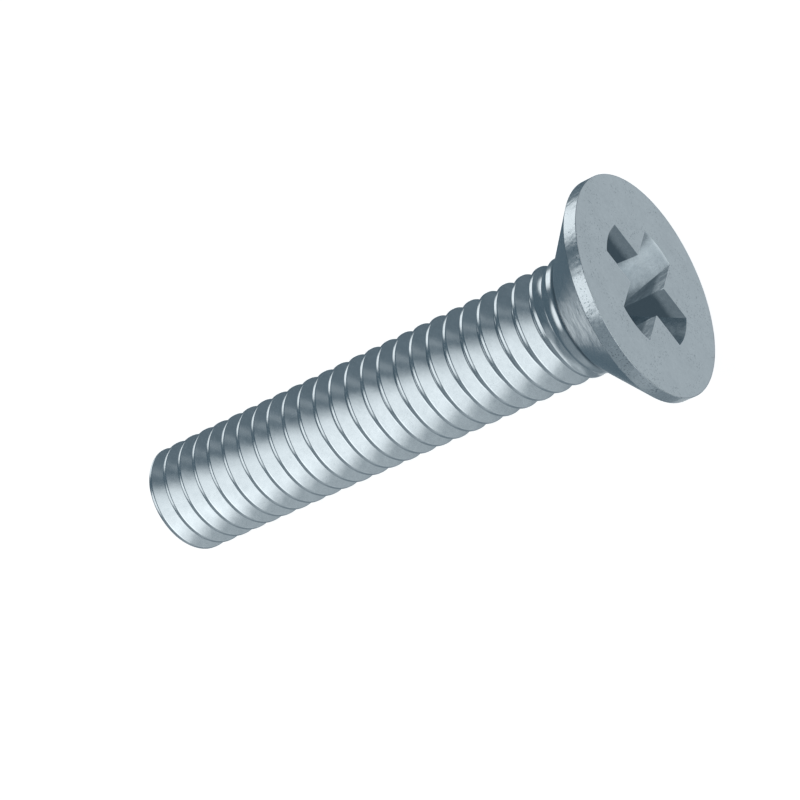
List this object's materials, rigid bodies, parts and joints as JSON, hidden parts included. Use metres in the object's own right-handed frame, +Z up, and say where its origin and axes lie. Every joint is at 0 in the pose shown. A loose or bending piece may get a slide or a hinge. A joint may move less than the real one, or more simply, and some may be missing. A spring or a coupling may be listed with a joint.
{
  "type": "countersunk machine screw",
  "caption": "Zinc-plated steel machine screw with a countersunk flat head, a cross recess and a fine thread from its flat end up to a short neck, lying on its side.",
  "frame": {"origin": "on the ground, at the middle of the screw's outline seen from above; the screw lies as it comes to rest, on the lower edge of the head's rim and on the first full crest of the thread", "axes": "+X along the screw, from its flat end towards its head, with the screw's own axis rising 5.4 degrees towards the head; +Z up"},
  "size_m": [0.0204, 0.0076, 0.0075],
  "materials": {
    "zinc_plated_steel": "bright zinc plating with a bluish tint, satin on the flanks and slightly mottled on the head"
  },
  "bodies": {
    "root": {"screw": "zinc_plated_steel"}
  },
  "joints": []
}
